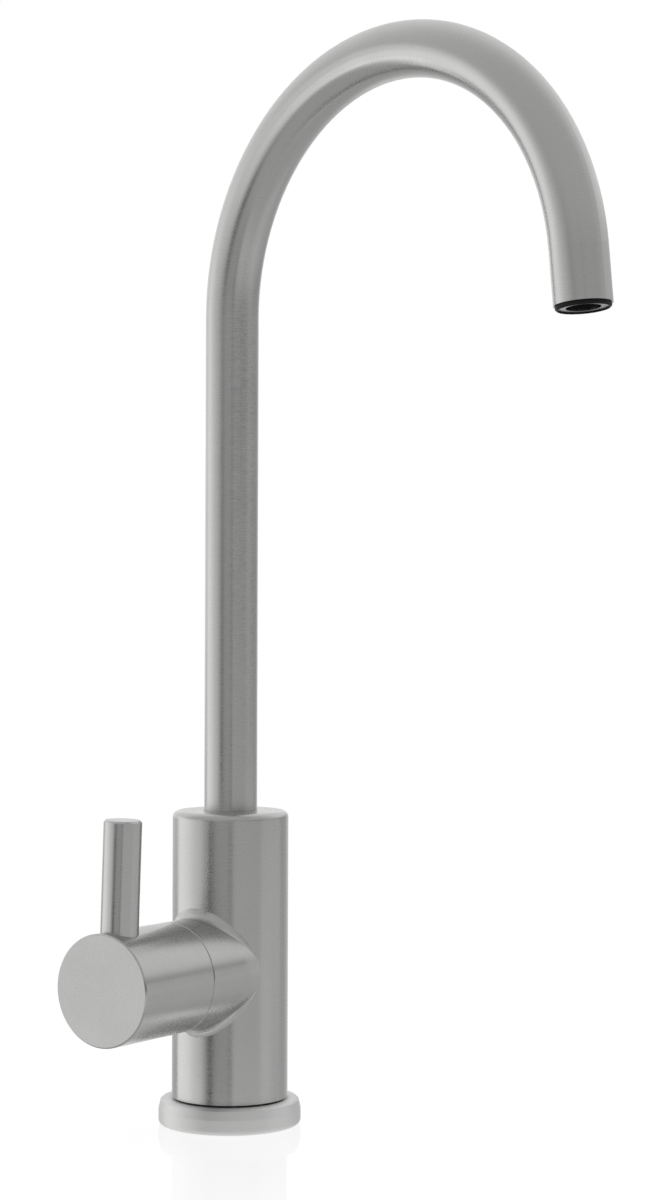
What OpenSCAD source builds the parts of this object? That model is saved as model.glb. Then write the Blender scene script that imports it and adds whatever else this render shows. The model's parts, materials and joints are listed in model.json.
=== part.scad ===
// Filtered water tap with a quarter-turn side lever and a swivelling swan-neck spout.
// The origin is the centre of the base on the worktop and +Z is up. The valve points
// along -X, and the spout points ahead along -Y when its swing is 0.

/* [Column] */
// Diameter of the column
body_d = 35; // [34:0.1:38]
// Height of the column's flat top above the worktop
body_top = 94.5; // [90:0.1:120]
// Rounding of the column's top edge
body_edge = 2; // [0.4:0.1:2.5]
// Diameter of the round spigot that centres the column in the base plate
register_d = 18; // [16:0.5:22]
// How deep that spigot enters the base plate
register_depth = 2.4; // [1:0.1:3.5]

/* [Valve branch] */
// Height of the valve's axis above the worktop
valve_z = 47.2; // [42:0.1:50]
// Diameter of the branch
branch_d = 32.5; // [30:0.1:33]
// Distance from the column's axis to the end of the branch
branch_end = 29.6; // [28:0.1:40]
// Radius of the concave fillet between branch and column
junction_fillet_r = 4; // [1:0.1:5]
// Bevels on both sides of the seam between branch and knob
seam_bevel = 0.2; // [0.1:0.1:0.8]

/* [Base plate] */
// Diameter of the base plate
flange_d = 43; // [40:0.1:60]
// Thickness of the base plate
flange_h = 7.6; // [6:0.1:10]
// Height of the base plate's leaning shoulder
shoulder_h = 3; // [1:0.1:3.4]
// Lean of that shoulder from upright, in degrees
shoulder_lean = 13; // [6:1:25]
// Bevel at the shoulder's upper edge
shoulder_edge = 0.4; // [0.2:0.1:0.8]
// Rounding of the base plate's lower edge
flange_foot_round = 1.5; // [0.3:0.1:2]
// Height of the dark ring between base plate and column
shadow_gap = 0.7; // [0.4:0.1:1.5]
// How far the dark ring stays back from the column's side
shadow_inset = 0.9; // [0.4:0.1:2]
// Width of the base gasket
gasket_w = 4; // [2:0.1:5]
// Thickness of the base gasket
gasket_t = 1.6; // [1:0.1:2.5]
// Distance from the gasket to the base plate's rim
gasket_inset = 3.3; // [2.5:0.1:4]

/* [Shank and fixing set] */
// Diameter of the threaded shank (7/16 inch)
shank_d = 11.11; // [10:0.01:12]
// Bore of the shank
shank_bore = 6; // [5:0.1:7]
// Length of threaded shank below the worktop's surface
shank_below = 40; // [38:1:90]
// Diameter of the plain stem that takes the supply connector (3/8 inch)
stem_d = 9.53; // [8:0.01:9.6]
// Length of that stem
stem_len = 16; // [10:0.5:30]
// Length of shank that is screwed into the column
shank_grip = 12; // [8:0.5:14]
// Thickness of the sealing ring above the shank
shank_seal_t = 1.5; // [1:0.1:2.5]
// Thickness of the worktop that the fixing set clamps
worktop_t = 20; // [10:1:23]
// Diameter of the rubber and steel clamp washers
clamp_d = 26; // [22:0.5:27]
// Thickness of the rubber washer
rubber_t = 3; // [1.5:0.1:4]
// Thickness of the steel clamp washer
clamp_t = 2; // [1:0.1:3]
// Outer diameter of the split lock washer
lock_d = 18; // [16:0.1:22]
// Thickness of the split lock washer
lock_t = 2; // [1:0.1:3]
// Fixing nut across flats
nut_af = 17.5; // [16:0.1:22]
// Height of the fixing nut
nut_h = 9.5; // [6:0.1:10]

/* [Valve cartridge] */
// Diameter of the chamber that the cartridge stands in
chamber_d = 20.4; // [19.4:0.1:20.8]
// Outer diameter of the cartridge's lower sleeve
sleeve_d = 18.4; // [17.6:0.1:18.8]
// Wall of the lower sleeve
sleeve_wall = 1.2; // [0.8:0.1:1.5]
// Diameter of the cartridge's thread (G 1/2)
cartridge_thread_d = 20.96; // [20.9:0.01:21.4]
// Diameter of the collar that seats on the branch
collar_d = 25.8; // [24:0.1:26.4]
// Thickness of the collar
collar_t = 2; // [1:0.1:3]
// Hexagon of the cartridge across flats
cartridge_af = 22; // [19:0.1:22.5]
// Thickness of that hexagon
cartridge_hex_t = 3.5; // [2:0.1:4]
// Diameter of the cartridge's neck
neck_d = 14.4; // [12:0.1:16]
// Length of the neck, which holds the stop slot
neck_len = 3.4; // [3:0.1:4]
// Thickness of each ceramic disc
disc_t = 3; // [2:0.1:3.4]
// Thickness of the seat seal
seat_t = 2; // [1:0.1:2.4]
// Inner radius of the disc ports
port_r_in = 2.2; // [1.5:0.1:3]
// Outer radius of the disc ports
port_r_out = 6.2; // [5:0.1:6.3]
// Angle that each port covers
port_angle = 76; // [50:1:80]
// Width of the windows in the sleeve
window_w = 9; // [5:0.1:11]
// Length of the windows along the valve's axis
window_len = 3.4; // [2:0.1:4]
// Diameter of the spindle
spindle_d = 8; // [7:0.1:8.4]
// Number of spline teeth
spline_teeth = 20; // [12:1:24]
// Depth of the spline teeth
spline_depth = 0.4; // [0.2:0.05:0.6]
// Diameter of the stop pin
stop_pin_d = 1.8; // [1.2:0.1:2]

/* [Knob and lever] */
// Diameter of the knob
knob_d = 32.5; // [31.5:0.1:36]
// Length of the knob
knob_len = 32; // [30:0.1:40]
// Gap of the seam between branch and knob
seam_gap = 0.2; // [0.15:0.05:0.6]
// Wall of the knob's skirt
skirt_wall = 2; // [1.2:0.1:2.4]
// Bevel round the knob's face
knob_bevel = 0.4; // [0.1:0.1:1]
// Length of spline that the knob holds
spline_len = 8; // [6:0.1:8.4]
// Diameter of the lever rod
lever_d = 11; // [8:0.1:12]
// Height of the lever's top above the valve's axis
lever_top = 48.1; // [35:0.1:70]
// Distance from the lever's axis to the knob's flat end
lever_inset = 7.6; // [7:0.1:8.5]
// Depth of the lever's seat below the knob's top line
lever_seat = 7.75; // [4:0.05:8.5]
// Bevel of the lever's top edge
lever_bevel = 0.5; // [0.2:0.1:1.5]
// Diameter of the stud under the lever
stud_d = 6; // [4:0.1:6]
// Length of that stud
stud_len = 6; // [4:0.1:7]
// Turn of the lever from upright towards the front
lever_lean = 2; // [0:0.5:90]

/* [Spout] */
// Outer diameter of the spout tube
tube_d = 16; // [15:0.1:17]
// Wall of the spout tube
tube_wall = 1.2; // [0.8:0.1:1.5]
// Height above the worktop at which the bend starts
bend_z = 243.5; // [160:0.1:320]
// Radius of the bend along the tube's axis
bend_r = 70; // [45:0.1:110]
// Angle that the bend turns through
bend_angle = 173.7; // [120:0.1:180]
// Straight length after the bend
tube_end = 15.2; // [13:0.1:40]
// Swing of the spout from straight ahead towards the valve's side
spout_swing = 13.1; // [-180:0.1:180]

/* [Spout bearing] */
// Bore of the ferrule at the foot of the spout
ferrule_bore = 10; // [8:0.1:10.4]
// Depth of the ferrule's bearing and screw grooves
bearing_depth = 1; // [0.6:0.05:1.2]
// Depth of the ferrule's seal grooves
seal_groove_depth = 1.7; // [1.2:0.05:1.8]
// Width of the ferrule's seal grooves
seal_groove_w = 2.4; // [2:0.1:2.8]
// Width of the bearing rings
bearing_w = 2; // [1.2:0.1:2.4]
// Land between two grooves
groove_land = 1.2; // [0.8:0.1:1.5]
// Length of the ferrule's spigot inside the tube
ferrule_spigot = 8; // [4:0.1:12]
// Thickness of the thrust washer under the ferrule
thrust_t = 1; // [0.6:0.1:1.5]
// Diameter of the spout's retaining screw
retainer_d = 4; // [3:0.1:5]
// Diameter of that screw's plain point
retainer_point_d = 2.5; // [1.5:0.1:2.8]

/* [Outlet] */
// Length of the outlet plug inside the tube
plug_len = 10; // [9.5:0.1:12]
// Diameter of the plug's rim
plug_rim_d = 15.1; // [14.6:0.1:15.6]
// How far the rim stands below the tube
plug_rim_h = 1.2; // [0.8:0.1:2.5]
// Bevel round that rim
plug_rim_bevel = 0.4; // [0.1:0.05:0.5]
// Wall of the plug
plug_wall = 1.6; // [1.5:0.1:1.8]
// Diameter of the jet's opening
jet_d = 9.5; // [7:0.1:9.5]
// Wall of the rim round the grey ring
plug_rim_wall = 0.65; // [0.4:0.05:0.9]
// Thickness of the grey ring
jet_ring_t = 0.7; // [0.4:0.1:0.8]
// How far the grey ring lies back from the rim's end
jet_ring_sunk = 0.4; // [0.1:0.05:0.4]
// Thickness of the flow straightener
straightener_t = 3; // [1.5:0.1:3.5]
// Diameter of the straightener's holes
straightener_hole = 1.1; // [0.8:0.05:1.2]

/* [Clearances] */
// Radial clearance of turning fits
run_fit = 0.05; // [0.03:0.01:0.08]
// Radial clearance of fixed fits and threads
set_fit = 0.03; // [0.02:0.01:0.08]
// Face clearance between pieces that turn on each other
face_gap = 0.05; // [0.03:0.01:0.1]
// Clearance beside the stop pin and the retaining screw
stop_gap = 0.3; // [0.2:0.05:0.4]

/* [Hidden] */
$fn = 96;
past = 1;
steel = [0.66, 0.66, 0.65];
bright = [0.74, 0.74, 0.73];
brass = [0.78, 0.66, 0.38];
ceramic = [0.92, 0.90, 0.86];
rubber = [0.07, 0.07, 0.07];
acetal = [0.86, 0.86, 0.82];

// Column and base
body_r = body_d / 2;
branch_r = branch_d / 2;
body_foot = flange_h + shadow_gap;
register_floor = flange_h - register_depth;
flange_recess_extra = 0.2;
flange_hole_play = 0.6;
flange_hole_d = shank_d + 2 * flange_hole_play;
gasket_rim_r = flange_d / 2 - gasket_inset;
shoulder_slope = tan(shoulder_lean);
shoulder_spare = 0.2;

// Fillet between branch and column
fillet_sink = 0.1;
fillet_reach = junction_fillet_r - fillet_sink;
fillet_root = 0.8;
fillet_steps = 9;
fillet_turns = 96;

// Shank and fixing set
shank_top = body_foot + shank_grip;
thread_bevel = 0.6;
stem_bevel = 0.8;
washer_play = 0.4;
washer_bore = shank_d + 2 * washer_play;
lock_slit = 1.6;
rubber_z = -worktop_t - rubber_t;
clamp_z = rubber_z - clamp_t;
lock_z = clamp_z - lock_t;
nut_z = lock_z - nut_h;
hexagon_edge = 0.6;

// Stations along the valve's axis, measured outwards from the column's axis
inlet_d = 6;
seat_wall = 2;
floor_u = inlet_d / 2 + seat_wall;
rim_lift = 0.4;
rim_u = floor_u + rim_lift;
fixed_u = floor_u + seat_t;
moving_u = fixed_u + disc_t + face_gap;
moving_end_u = moving_u + disc_t;
window_margin = 0.3;
window_u = moving_end_u + window_margin;
bar_depth = 1.2;
bar_u = moving_end_u - bar_depth;
bar_end_u = window_u + window_len + window_margin;
spindle_flange_t = 1.4;
spindle_flange_end = bar_end_u + spindle_flange_t;
spindle_washer_t = 0.8;
spindle_washer_u = spindle_flange_end + face_gap;
shoulder_u = spindle_washer_u + spindle_washer_t + face_gap;
chamber_spare = 0.6;
chamber_end_u = bar_end_u + chamber_spare;
thread_runout = 0.3;
thread_u = chamber_end_u + thread_runout;
seal_recess = 1.8;
recess_u = branch_end - seal_recess;
hex_u = branch_end + collar_t;
neck_u = hex_u + cartridge_hex_t;
neck_end_u = neck_u + neck_len;
circlip_t = 0.8;
circlip_gap = 0.4;
circlip_u = neck_end_u + circlip_gap;
spline_gap = 0.5;
spline_u = circlip_u + circlip_t + spline_gap;
spindle_end_u = spline_u + spline_len;
knob_u = branch_end + seam_gap;
knob_face_u = knob_u + knob_len;
cavity_spare = 0.4;
cavity_end_u = spline_u + cavity_spare;
lever_u = knob_face_u - lever_inset;
set_screw_at = 3;
set_screw_u = cavity_end_u + set_screw_at;
stop_u = neck_u + neck_len / 2;

// Radii of the cartridge
sleeve_r = sleeve_d / 2;
sleeve_bore_r = sleeve_r - sleeve_wall;
fixed_disc_play = 0.2;
fixed_disc_r = sleeve_bore_r - fixed_disc_play;
moving_disc_play = 0.4;
moving_disc_r = sleeve_bore_r - moving_disc_play;
seat_play = 0.1;
seat_r = sleeve_bore_r - seat_play;
seat_margin = 0.2;
seat_bore_r = port_r_out + seat_margin;
ear_w = 3;
ear_inset = 0.2;
ear_r = sleeve_r - ear_inset;
ear_play = 0.1;
spindle_r = spindle_d / 2;
spindle_bore_r = spindle_r + run_fit;
spindle_flange_inset = 1;
spindle_flange_r = moving_disc_r - spindle_flange_inset;
bar_w = 4.4;
bar_play = 0.1;
bar_inset = 0.3;
bar_r = moving_disc_r - bar_inset;
thread_r = cartridge_thread_d / 2;
undercut_depth = 0.7;
undercut_r = thread_r - undercut_depth;
collar_overlap = 0.5;
seal_recess_r = collar_d / 2 - collar_overlap;
cartridge_seal_r = (seal_recess - 2 * face_gap) / 2;
spindle_seal_r = 0.55;
spindle_groove_w = 1.5;
spindle_seal_at = 1.6;
spindle_seal_pitch = 2.6;
first_seal_u = shoulder_u + spindle_seal_at;
spindle_seal_us = [first_seal_u, first_seal_u + spindle_seal_pitch];
circlip_proud = 1.7;
circlip_r = spindle_r + circlip_proud;
circlip_groove = 0.6;
circlip_bore_r = spindle_r - circlip_groove + set_fit;
skirt_r = knob_d / 2 - skirt_wall;
spline_step = 0.15;
spline_tip_r = spindle_r - spline_step;
spline_root_r = spline_tip_r - spline_depth;
spline_spare = 0.5;
set_screw_d = 4;
set_screw_len = 8;
set_screw_point_len = 1;
set_screw_bite = 0.5;
set_screw_tip = spline_root_r - set_screw_bite;
hex_key = 2;
hex_key_depth = 2.2;
lever_seat_r = knob_d / 2 - lever_seat;
stud_spare = 0.5;

// Stations of the spout socket, measured upwards
riser_d = 4.4;
riser_slope = 45;
plenum_wall = 2.4;
plenum_floor = valve_z + chamber_d / 2 + plenum_wall;
plenum_h = 6.5;
socket_floor = plenum_floor + plenum_h;
ferrule_z = socket_floor + thrust_t + face_gap;
low_seal_z = ferrule_z + groove_land;
high_seal_z = low_seal_z + seal_groove_w + groove_land;
low_bearing_z = high_seal_z + seal_groove_w + groove_land;
retainer_groove_w = retainer_point_d + 2 * stop_gap;
retainer_groove_z = low_bearing_z + bearing_w + groove_land;
retainer_groove_end = retainer_groove_z + retainer_groove_w;
retainer_z = retainer_groove_z + retainer_groove_w / 2;
high_bearing_z = retainer_groove_end + groove_land;
tube_foot = high_bearing_z + bearing_w + groove_land;
tube_r = tube_d / 2;
tube_bore_r = tube_r - tube_wall;
bend_spare = 2;
bend_step = 0.01;
socket_r = tube_r + run_fit;
socket_bevel = 0.6;
plenum_step = 1.6;
plenum_r = socket_r - plenum_step;
ferrule_step = 0.02;
ferrule_r = tube_r - ferrule_step;
groove_floor_r = ferrule_r - bearing_depth;
seal_floor_r = ferrule_r - seal_groove_depth;
seal_play = 0.01;
spout_seal_r = (seal_groove_depth + run_fit / 2) / 2;
bearing_slit = 0.8;
retainer_tip_y = groove_floor_r + stop_gap;
retainer_sunk = 1;
retainer_head_y = body_r - retainer_sunk;
retainer_point_spare = 0.4;
retainer_point_len = socket_r - retainer_tip_y + retainer_point_spare;

// Outlet plug, measured along the flow from the end of the tube
plug_r = tube_bore_r - set_fit;
plug_bore_r = plug_r - plug_wall;
plug_lip = 2;
plug_groove_w = 1.1;
plug_groove_at = -7;
plug_groove_depth = 0.85;
plug_seal_r = plug_groove_depth / 2 - seal_play;
jet_ring_r = plug_rim_d / 2 - plug_rim_wall;
jet_ring_face = plug_rim_h - jet_ring_sunk;
straightener_pitch = 1.75;

// Places the valve's own frame: its z runs outwards along the branch and its x points up.
module along_valve() {
    translate([0, 0, valve_z]) rotate([0, -90, 0]) children();
}

// The valve's frame, turned with the lever.
module along_lever() {
    along_valve() rotate([0, 0, -lever_lean]) children();
}

module swung() {
    rotate([0, 0, -spout_swing]) children();
}

// Frame of the bend before the spout swings: the tube starts on its x axis and turns about its z.
module bend_frame() {
    translate([0, -bend_r, bend_z]) rotate([90, 0, 90]) children();
}

// Frame at the end of the bend, with z along the flow.
module bend_end() {
    bend_frame() rotate([0, 0, bend_angle]) translate([bend_r, 0, 0]) rotate([-90, 0, 0]) children();
}

module outlet_frame() {
    swung() bend_end() translate([0, 0, tube_end]) children();
}

// A square profile for turning, from radius r_in to r_out and from z0 to z1.
module turn(r_in, r_out, z0, z1) {
    translate([r_in, z0]) square([r_out - r_in, z1 - z0]);
}

module ring(r_in, r_out, z0, z1) {
    rotate_extrude() turn(r_in, r_out, z0, z1);
}

// What a rounding of radius r takes off a profile's outer upper corner at the origin.
module corner_cut(r) {
    difference() {
        translate([-r, -r]) square(2 * r);
        translate([-r, -r]) circle(r);
    }
}

// What a bevel of width b takes off a profile's outer upper corner at the origin.
module bevel_cut(b) {
    polygon([[-b, 0], [0, -b], [b, b]]);
}

module torus(centre_r, section_r) {
    rotate_extrude() translate([centre_r, 0]) circle(section_r);
}

module rounded_hexagon(af, h) {
    corner_r = af / sqrt(3);
    flat_r = corner_r - 2 * hexagon_edge;
    intersection() {
        cylinder(r = corner_r, h = h, $fn = 6);
        rotate_extrude() polygon([
            [0, 0], [flat_r, 0], [corner_r, hexagon_edge],
            [corner_r, h - hexagon_edge], [flat_r, h], [0, h]
        ]);
    }
}

// A headless screw along z with a hexagon key socket in its upper end.
module grub_screw(d, length, point_d, point_len) {
    difference() {
        union() {
            translate([0, 0, point_len]) cylinder(d = d - 2 * set_fit, h = length - point_len);
            cylinder(d = point_d, h = point_len + past / 2);
        }
        translate([0, 0, length - hex_key_depth])
            cylinder(d = hex_key / cos(30), h = hex_key_depth + past, $fn = 6);
    }
}

function unit(v) = v / norm(v);

// Cross-section of the junction fillet at angle t round the branch: a ball that rests in the
// corner between branch and column, sunk by a hair so that its edge runs into both surfaces.
function fillet_section(t) = let(
    ball_y = (branch_r + fillet_reach) * sin(t),
    ball_z = sqrt(pow(body_r + fillet_reach, 2) - pow(ball_y, 2)),
    ball = [(branch_r + fillet_reach) * cos(t), ball_y, ball_z],
    to_branch = [-cos(t), -sin(t), 0],
    to_column = [0, -ball_y, -ball_z] / (body_r + fillet_reach),
    root_r = branch_r - fillet_root,
    root_z = sqrt(pow(body_r, 2) - pow(root_r * sin(t), 2)) - fillet_root
) concat(
    [[root_r * cos(t), root_r * sin(t), root_z]],
    [for (k = [0 : fillet_steps])
        let(part = k / fillet_steps)
        ball + junction_fillet_r * unit(to_branch * (1 - part) + to_column * part)]
);

module junction_fillet() {
    count = fillet_steps + 2;
    points = [for (i = [0 : fillet_turns - 1]) each fillet_section(i * 360 / fillet_turns)];
    faces = [for (i = [0 : fillet_turns - 1]) for (j = [0 : count - 1])
        let(a = i * count, b = ((i + 1) % fillet_turns) * count, n = (j + 1) % count)
        each [[a + j, a + n, b + j], [a + n, b + n, b + j]]];
    polyhedron(points, faces);
}

module spout_socket() {
    rotate_extrude() union() {
        turn(0, plenum_r, plenum_floor, socket_floor + past);
        turn(0, socket_r, socket_floor, body_top + past);
        polygon([
            [0, body_top - socket_bevel], [socket_r, body_top - socket_bevel],
            [socket_r + socket_bevel + past, body_top + past], [0, body_top + past]
        ]);
    }
}

module valve_chamber() {
    rotate_extrude() union() {
        turn(0, inlet_d / 2, 0, floor_u + past);
        turn(0, chamber_d / 2, floor_u, chamber_end_u + past);
        turn(0, thread_r + set_fit, chamber_end_u, branch_end + past);
        turn(0, seal_recess_r, recess_u, branch_end + past);
    }
}

// Slanted passage from the top of the valve chamber into the plenum under the spout.
module riser() {
    start_u = chamber_end_u - riser_d;
    start_x = chamber_d / 2 - riser_d / 2;
    length = (start_u - plenum_r / 2) / sin(riser_slope);
    translate([start_x, 0, start_u]) rotate([0, 90 + riser_slope, 0]) cylinder(d = riser_d, h = length);
}

module body() color(steel) difference() {
    union() {
        rotate_extrude() difference() {
            union() {
                turn(0, body_r, body_foot, body_top);
                turn(0, register_d / 2, register_floor, body_foot + past);
            }
            translate([body_r, body_top]) corner_cut(body_edge);
        }
        along_valve() rotate_extrude() difference() {
            turn(0, branch_r, 0, branch_end);
            translate([branch_r, branch_end]) bevel_cut(seam_bevel);
        }
        along_valve() junction_fillet();
    }
    spout_socket();
    along_valve() valve_chamber();
    along_valve() riser();
    translate([0, 0, register_floor - past])
        cylinder(d = shank_d + 2 * set_fit, h = shank_top + shank_seal_t - register_floor + past);
    cylinder(d = inlet_d, h = valve_z + inlet_d / 2);
    translate([0, 0, retainer_z]) rotate([-90, 0, 0]) cylinder(d = retainer_d, h = body_d);
}

// What the leaning shoulder and its edge take off the base plate's outer upper corner at the origin.
module shoulder_cut() {
    crease_y = -shoulder_h - shoulder_spare;
    edge_x = -(shoulder_h - shoulder_edge) * shoulder_slope;
    top_x = edge_x - (shoulder_edge + shoulder_spare) * (1 + shoulder_slope);
    polygon([
        [shoulder_spare * shoulder_slope, crease_y], [edge_x, -shoulder_edge], [top_x, shoulder_spare],
        [flange_h, shoulder_spare], [flange_h, crease_y]
    ]);
}

module base_flange() color(bright) rotate_extrude() difference() {
    turn(flange_hole_d / 2, flange_d / 2, 0, flange_h);
    translate([flange_d / 2, flange_h]) shoulder_cut();
    translate([flange_d / 2, 0]) mirror([0, 1]) corner_cut(flange_foot_round);
    turn(0, register_d / 2 + set_fit, register_floor - flange_recess_extra, flange_h + past);
    turn(0, gasket_rim_r, -past, gasket_t);
}

module body_seal_ring() color(rubber)
    ring(register_d / 2 + set_fit, body_r - shadow_inset, flange_h, body_foot);

module base_gasket() color(rubber)
    ring(gasket_rim_r - gasket_w, gasket_rim_r - set_fit, 0, gasket_t);

module shank() color(steel) rotate_extrude() difference() {
    union() {
        turn(shank_bore / 2, shank_d / 2, -shank_below, shank_top);
        turn(shank_bore / 2, stem_d / 2, -shank_below - stem_len, past - shank_below);
    }
    translate([shank_d / 2, shank_top]) bevel_cut(thread_bevel);
    translate([shank_d / 2, -shank_below]) mirror([0, 1]) bevel_cut(thread_bevel);
    translate([stem_d / 2, -shank_below - stem_len]) mirror([0, 1]) bevel_cut(stem_bevel);
}

module shank_seal() color(rubber)
    ring(inlet_d / 2 + set_fit, shank_d / 2 - thread_bevel, shank_top, shank_top + shank_seal_t);

module rubber_washer() color(rubber) ring(washer_bore / 2, clamp_d / 2, rubber_z, -worktop_t);

module clamp_washer() color(bright) ring(washer_bore / 2, clamp_d / 2, clamp_z, rubber_z);

module lock_washer() color(steel) difference() {
    ring(washer_bore / 2, lock_d / 2, lock_z, clamp_z);
    translate([0, -lock_slit / 2, lock_z - past]) cube([lock_d, lock_slit, lock_t + 2 * past]);
}

module fixing_nut() color(brass) translate([0, 0, nut_z]) difference() {
    rounded_hexagon(nut_af, nut_h);
    translate([0, 0, -past]) cylinder(d = shank_d + 2 * set_fit, h = nut_h + 2 * past);
}

module cartridge_housing() color(brass) along_valve() difference() {
    union() {
        rotate_extrude() union() {
            turn(0, sleeve_r, rim_u, thread_u);
            turn(0, thread_r, thread_u, recess_u);
            turn(0, undercut_r, recess_u, branch_end);
            turn(0, collar_d / 2, branch_end, hex_u);
            turn(0, neck_d / 2, hex_u, neck_end_u);
        }
        translate([0, 0, hex_u]) rounded_hexagon(cartridge_af, cartridge_hex_t);
    }
    rotate_extrude() union() {
        turn(0, sleeve_bore_r, rim_u - past, shoulder_u);
        turn(0, spindle_bore_r, shoulder_u - past, neck_end_u + past);
    }
    translate([-sleeve_d, -window_w / 2, window_u]) cube([2 * sleeve_d, window_w, window_len]);
    translate([-ear_w / 2 - ear_play, -sleeve_d, rim_u - past])
        cube([ear_w + 2 * ear_play, 2 * sleeve_d, fixed_u + disc_t + ear_play - rim_u + past]);
    stop_slot();
}

// Quarter of the neck, opened for the stop pin from upright to the front.
module stop_slot() {
    side = stop_pin_d / 2 + stop_gap;
    translate([-side, -neck_d, stop_u - side]) cube([neck_d + side, neck_d + side, 2 * side]);
}

module cartridge_oring() color(rubber) along_valve()
    translate([0, 0, branch_end - seal_recess / 2])
        torus((undercut_r + seal_recess_r) / 2, cartridge_seal_r);

module seat_seal() color(rubber) along_valve() ring(seat_bore_r, seat_r, floor_u, fixed_u);

// Outline of one disc's two ports, centred on the given angle.
module disc_ports(centre_angle) {
    for (side = [0, 180]) rotate(centre_angle + side) intersection() {
        difference() {
            circle(port_r_out);
            circle(port_r_in);
        }
        polygon([
            [0, 0],
            2 * port_r_out * [cos(port_angle / 2), -sin(port_angle / 2)],
            2 * port_r_out * [cos(port_angle / 2), sin(port_angle / 2)]
        ]);
    }
}

module fixed_disc() color(ceramic) along_valve() translate([0, 0, fixed_u])
    linear_extrude(disc_t) difference() {
        union() {
            circle(fixed_disc_r);
            intersection() {
                circle(ear_r);
                square([ear_w, 3 * ear_r], center = true);
            }
        }
        disc_ports(0);
    }

module moving_disc() color(ceramic) along_lever() difference() {
    translate([0, 0, moving_u]) linear_extrude(disc_t) difference() {
        circle(moving_disc_r);
        disc_ports(90);
    }
    translate([-2 * moving_disc_r, -bar_w / 2 - bar_play, bar_u - bar_play])
        cube([4 * moving_disc_r, bar_w + 2 * bar_play, disc_t]);
}

// Outline of the splined end, grown by a clearance for the hole that takes it.
module spline(grow) {
    step = 360 / spline_teeth;
    polygon([for (i = [0 : spline_teeth - 1]) each [
        (spline_tip_r + grow) * [cos(i * step - step / 8), sin(i * step - step / 8)],
        (spline_tip_r + grow) * [cos(i * step + step / 8), sin(i * step + step / 8)],
        (spline_root_r + grow) * [cos(i * step + step * 3 / 8), sin(i * step + step * 3 / 8)],
        (spline_root_r + grow) * [cos(i * step + step * 5 / 8), sin(i * step + step * 5 / 8)]
    ]]);
}

module spindle() color(brass) along_lever() difference() {
    union() {
        intersection() {
            translate([-bar_r, -bar_w / 2, bar_u]) cube([2 * bar_r, bar_w, bar_end_u - bar_u]);
            cylinder(r = bar_r, h = bar_end_u);
        }
        rotate_extrude() difference() {
            union() {
                turn(0, spindle_flange_r, bar_end_u, spindle_flange_end);
                turn(0, spindle_r, spindle_flange_end, spline_u);
            }
            for (u = spindle_seal_us) translate([0, u - spindle_groove_w / 2])
                turn(spindle_r - 2 * spindle_seal_r, spindle_d, 0, spindle_groove_w);
            turn(spindle_r - circlip_groove, spindle_d, circlip_u, circlip_u + circlip_t);
        }
        translate([0, 0, spline_u]) linear_extrude(spline_len) spline(0);
    }
    translate([0, 0, stop_u]) rotate([0, 90, 0])
        translate([0, 0, -spindle_r / 2]) cylinder(d = stop_pin_d + 2 * set_fit, h = spindle_d);
    ring(set_screw_tip, spindle_d, set_screw_u - set_screw_d / 2, set_screw_u + set_screw_d / 2);
}

module spindle_thrust_washer() color(acetal) along_lever()
    ring(spindle_r + set_fit, spindle_flange_r, spindle_washer_u, spindle_washer_u + spindle_washer_t);

module spindle_orings() color(rubber) along_lever()
    for (u = spindle_seal_us) translate([0, 0, u])
        torus(spindle_r - spindle_seal_r + run_fit / 2, spindle_seal_r);

module spindle_circlip() color(steel) along_lever() difference() {
    ring(circlip_bore_r, circlip_r, circlip_u + set_fit, circlip_u + circlip_t - set_fit);
    translate([0, -spindle_r / 2, circlip_u - past]) cube([spindle_d, spindle_r, circlip_t + 2 * past]);
}

module stop_pin() color(steel) along_lever()
    translate([-spindle_r / 2, 0, stop_u]) rotate([0, 90, 0])
        cylinder(d = stop_pin_d, h = spindle_r / 2 + neck_d / 2 - stop_gap);

module knob() color(steel) along_lever() difference() {
    rotate_extrude() difference() {
        turn(0, knob_d / 2, knob_u, knob_face_u);
        turn(0, skirt_r, knob_u - past, cavity_end_u);
        translate([knob_d / 2, knob_face_u]) bevel_cut(knob_bevel);
        translate([knob_d / 2, knob_u]) mirror([0, 1]) bevel_cut(seam_bevel);
    }
    translate([0, 0, cavity_end_u - past])
        linear_extrude(spindle_end_u + spline_spare - cavity_end_u + past) spline(set_fit);
    translate([lever_seat_r, 0, lever_u]) rotate([0, 90, 0])
        cylinder(d = lever_d + 2 * set_fit, h = knob_d);
    translate([lever_seat_r - stud_len - stud_spare, 0, lever_u]) rotate([0, 90, 0])
        cylinder(d = stud_d + 2 * set_fit, h = stud_len + stud_spare + past);
    translate([0, 0, set_screw_u]) rotate([0, -90, 0]) cylinder(d = set_screw_d, h = knob_d);
}

module lever_rod() color(steel) along_lever() translate([lever_seat_r, 0, lever_u]) rotate([0, 90, 0])
    rotate_extrude() difference() {
        union() {
            turn(0, lever_d / 2, 0, lever_top - lever_seat_r);
            turn(0, stud_d / 2, -stud_len, past);
        }
        translate([lever_d / 2, lever_top - lever_seat_r]) bevel_cut(lever_bevel);
    }

module knob_set_screw() color(steel) along_lever() translate([0, 0, set_screw_u]) rotate([0, -90, 0])
    translate([0, 0, set_screw_tip + set_fit])
        grub_screw(set_screw_d, set_screw_len, set_screw_d / 2, set_screw_point_len);

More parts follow.
